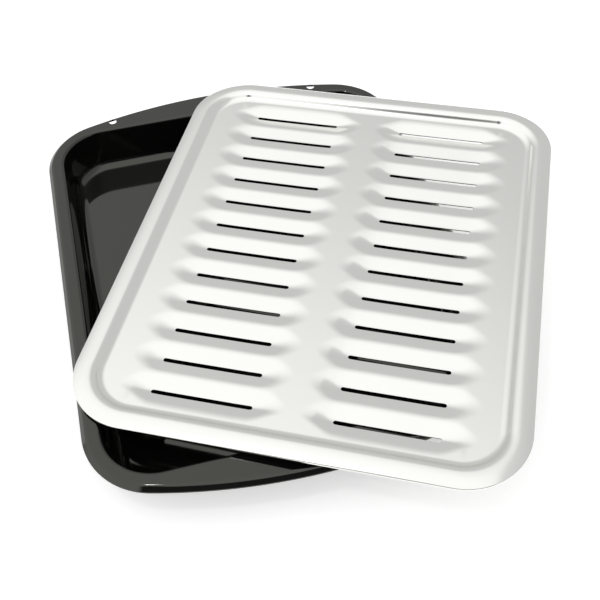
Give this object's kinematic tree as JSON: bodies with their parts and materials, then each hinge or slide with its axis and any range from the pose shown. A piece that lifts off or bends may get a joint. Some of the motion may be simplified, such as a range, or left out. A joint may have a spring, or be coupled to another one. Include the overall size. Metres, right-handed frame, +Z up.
{
  "type": "broiler pan",
  "caption": "Shallow enamelled steel pan with a flange that bulges at both ends, and a bright slotted grill with pressed valleys lying askew on its rim.",
  "frame": {"origin": "middle of the tub's flat underside, which is the face the pan stands on", "axes": "+Z up out of the tub, +Y along the pan's long axis towards the end with the two hanging holes, +X across it towards the side that the grill overhangs"},
  "size_m": [0.4413, 0.4699, 0.0556],
  "materials": {
    "enamel": "glossy black enamel fused on steel",
    "plating": "bright nickel and chrome plating on pressed steel"
  },
  "bodies": {
    "root": {"pan": "enamel", "grill": "plating"}
  },
  "joints": []
}
